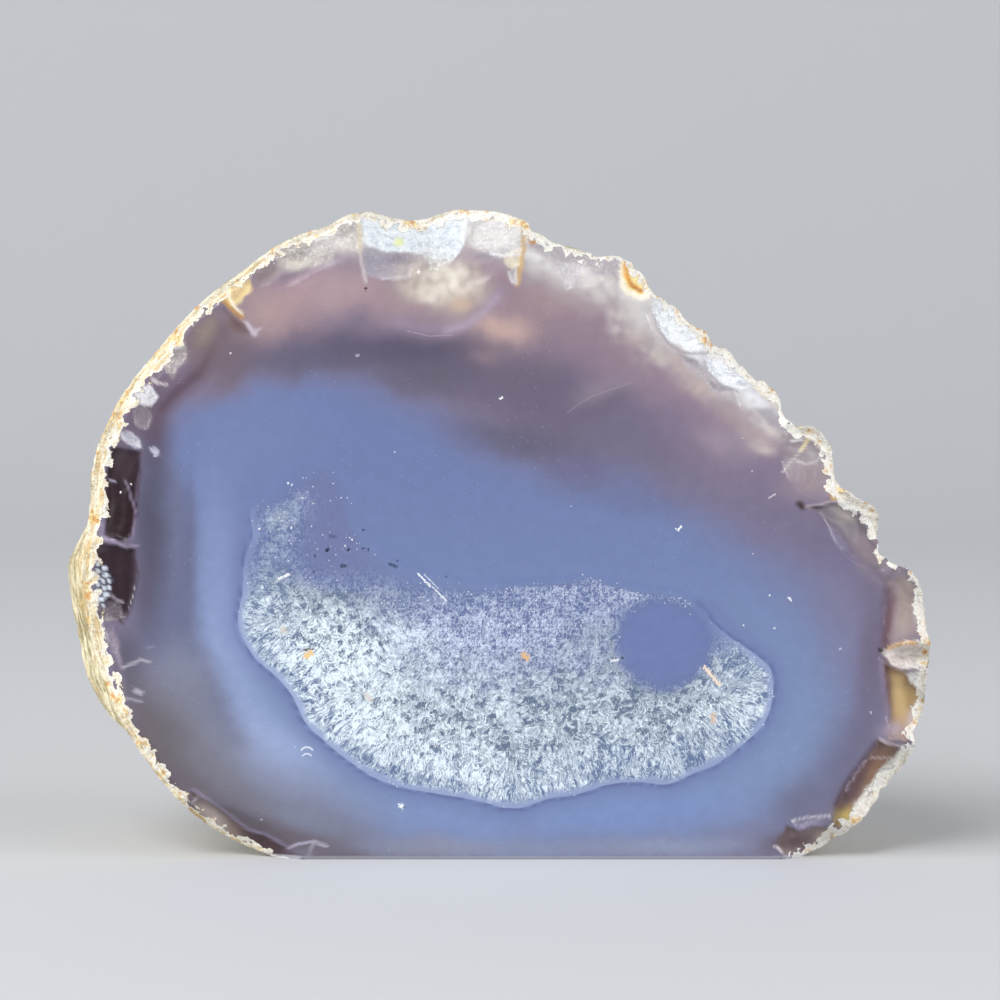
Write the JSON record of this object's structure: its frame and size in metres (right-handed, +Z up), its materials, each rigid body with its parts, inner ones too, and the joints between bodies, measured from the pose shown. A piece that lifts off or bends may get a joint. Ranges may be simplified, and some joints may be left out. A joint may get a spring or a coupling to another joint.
{
  "type": "agate end piece",
  "caption": "Nodule end sawn to a polished banded face with a quartz middle, a chipped rim, a lumpy natural rind behind and a flat sawn base to stand on.",
  "frame": {"origin": "under the middle of the stone, on the flat base", "axes": "+X to the right along the polished cut, +Y back from the cut into the dome, +Z up"},
  "size_m": [0.1104, 0.0422, 0.0823],
  "materials": {
    "agate": "polished on the cut face, natural matt rind behind"
  },
  "bodies": {
    "root": {"agate_end_piece": "agate"}
  },
  "joints": []
}
